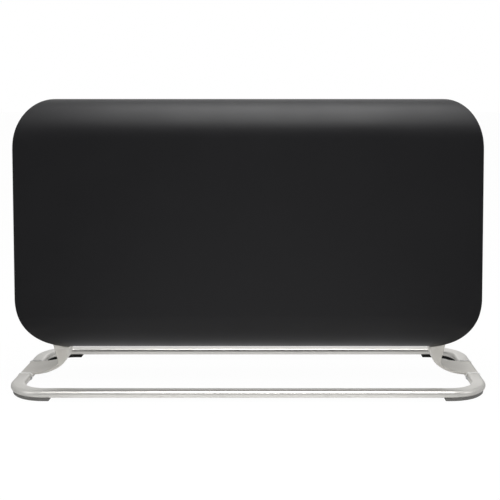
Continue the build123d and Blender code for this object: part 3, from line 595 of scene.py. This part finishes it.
def jointRings(form, bar):
    # the rings of the joints, with a lip over the tube that stays within the foot's width
    mesh = nodes["foot_joint_rings"].data.copy()
    mesh.name = "jointRings"
    barX = bar["loopWidth"] / 2 - bar["barWidth"] / 2
    midZ = bar["padHeight"] + bar["barHeight"] / 2
    w, h = bar["barWidth"] / 2 - form["inset"], bar["barHeight"] / 2 - form["inset"]
    r = bar["barEdge"] - form["inset"]
    widest = mm(bar["loopWidth"] / 2)
    for vert in mesh.vertices:
        dx = vert.co.x * 1000 - math.copysign(barX, vert.co.x)
        dz = vert.co.z * 1000 - midZ
        ox, oz = max(abs(dx) - (w - r), 0.0), max(abs(dz) - (h - r), 0.0)
        reach = math.hypot(ox, oz)
        if reach > r - form["shell"]:
            moved = vert.co.x + mm(math.copysign(form["proud"] * ox / reach, dx))
            vert.co.x = max(-widest, min(widest, moved))
            vert.co.z += mm(math.copysign(form["proud"] * oz / reach, dz))
    mesh.materials.clear()
    mesh.materials.append(made["ringPaintedHighlight"])
    addPiece("jointRings", mesh, "foot_joint_rings")


jointRings(ringForm, footForm)

castForm = {"voxel": 0.75, "soften": 6, "blend": 0.5}   # mm, rounds of smoothing, share of each


def castBracket(name, node):
    # the casting's edges and inner corners run into each other, so the solid is remeshed and softened
    mesh = nodes[node].data.copy()
    mesh.name = name
    work = bmesh.new()
    work.from_mesh(mesh)
    bmesh.ops.remove_doubles(work, verts=work.verts, dist=mm(weldReach))
    work.to_mesh(mesh)
    work.free()
    raw = bpy.data.objects.new(name + "Raw", mesh)
    scene.collection.objects.link(raw)
    remesh = raw.modifiers.new("remesh", "REMESH")
    remesh.mode = "VOXEL"
    remesh.voxel_size = mm(castForm["voxel"])
    soften = raw.modifiers.new("soften", "SMOOTH")
    soften.factor = castForm["blend"]
    soften.iterations = castForm["soften"]
    bpy.context.view_layer.update()
    done = bpy.data.meshes.new_from_object(raw.evaluated_get(bpy.context.evaluated_depsgraph_get()))
    done.name = name
    bpy.data.objects.remove(raw)
    done.materials.clear()
    done.materials.append(made["castAluminium"])
    shadeSmooth(done)
    addPiece(name, done, node)
    print("stage:", name, len(done.polygons), "faces")


castBracket("castBracketLeft", "foot_bracket_left")
castBracket("castBracketRight", "foot_bracket_right")
print("stage: foot")


# Marks printed in the control bay

dialForm = {
    "floorX": 307.8, "centreZ": 262.0, "radius": 25.0, "count": 11, "sweep": 270.0,
    "tick": (0.16, 3.2, 0.7),       # thickness, length and width of a mark
}


def instanceRing(name, form, finish):
    # marks round an arc, by Geometry Nodes, as one flat mesh
    tree = bpy.data.node_groups.new(name, "GeometryNodeTree")
    names = {"Count": "NodeSocketInt", "Radius": "NodeSocketFloat", "Sweep": "NodeSocketFloat",
             "Mark": "NodeSocketVector"}
    sockets = {label: tree.interface.new_socket(name=label, in_out="INPUT", socket_type=kind)
               for label, kind in names.items()}
    tree.interface.new_socket(name="Geometry", in_out="OUTPUT", socket_type="NodeSocketGeometry")
    given = addNode(tree, "NodeGroupInput")
    line = addNode(tree, "GeometryNodeMeshLine", {"Count": given.outputs["Count"], "Offset": (0, 0, 0)})
    index = addNode(tree, "GeometryNodeInputIndex")
    gaps = mathNode(tree, "SUBTRACT", given.outputs["Count"], 1.0)
    share = mathNode(tree, "DIVIDE", index.outputs[0], gaps)
    angle = mathNode(tree, "MULTIPLY", share, given.outputs["Sweep"])
    y = mathNode(tree, "MULTIPLY", mathNode(tree, "SINE", angle), given.outputs["Radius"])
    z = mathNode(tree, "MULTIPLY", mathNode(tree, "COSINE", angle), given.outputs["Radius"])
    spot = addNode(tree, "ShaderNodeCombineXYZ", {"Y": y, "Z": z})
    placed = addNode(tree, "GeometryNodeSetPosition", {"Geometry": line.outputs[0],
                                                       "Position": spot.outputs[0]})
    turn = addNode(tree, "ShaderNodeCombineXYZ", {"X": mathNode(tree, "MULTIPLY", angle, -1.0)})
    mark = addNode(tree, "GeometryNodeMeshCube", {"Size": given.outputs["Mark"]})
    spread = addNode(tree, "GeometryNodeInstanceOnPoints", {"Points": placed.outputs[0],
                                                            "Instance": mark.outputs[0],
                                                            "Rotation": turn.outputs[0]})
    real = addNode(tree, "GeometryNodeRealizeInstances", {0: spread.outputs[0]})
    dressed = addNode(tree, "GeometryNodeSetMaterial", {0: real.outputs[0], "Material": made[finish]})
    addNode(tree, "NodeGroupOutput", {0: dressed.outputs[0]})
    carrier = bpy.data.objects.new(name + "Raw", bpy.data.meshes.new(name + "Raw"))
    scene.collection.objects.link(carrier)
    modifier = carrier.modifiers.new(name, "NODES")
    modifier.node_group = tree
    thick, length, width = (mm(v) for v in form["tick"])
    values = {"Count": form["count"], "Radius": mm(form["radius"]), "Sweep": math.radians(form["sweep"]),
              "Mark": (thick, width, length)}
    for label, value in values.items():
        modifier[sockets[label].identifier] = value
    bpy.context.view_layer.update()
    mesh = bpy.data.meshes.new_from_object(carrier.evaluated_get(bpy.context.evaluated_depsgraph_get()))
    carrier.modifiers.remove(modifier)
    bpy.data.objects.remove(carrier)
    for vert in mesh.vertices:
        vert.co.x += mm(form["floorX"]) + thick / 2
        vert.co.z += mm(form["centreZ"])
    addPiece(name, mesh)
    print("stage:", name, len(mesh.polygons), "faces")


instanceRing("dialTicks", dialForm, "whiteInk")

pointerForm = {"faceX": 322.6, "thick": 0.15, "halfWidth": 0.6, "low": 270.2, "high": 280.2}


def knobPointer(form):
    # the inked line on the knob's raised pointer, which turns with the knob
    xs = (form["faceX"], form["faceX"] + form["thick"])
    verts = [(mm(x), mm(y), mm(z)) for x in xs for y in (-form["halfWidth"], form["halfWidth"])
             for z in (form["low"], form["high"])]
    faces = [(0, 1, 3, 2), (4, 6, 7, 5), (0, 4, 5, 1), (2, 3, 7, 6), (0, 2, 6, 4), (1, 5, 7, 3)]
    addPiece("knobPointer", newMesh("knobPointer", verts, faces, "whiteInk"), body="thermostat")


knobPointer(pointerForm)
print("stage: marks")
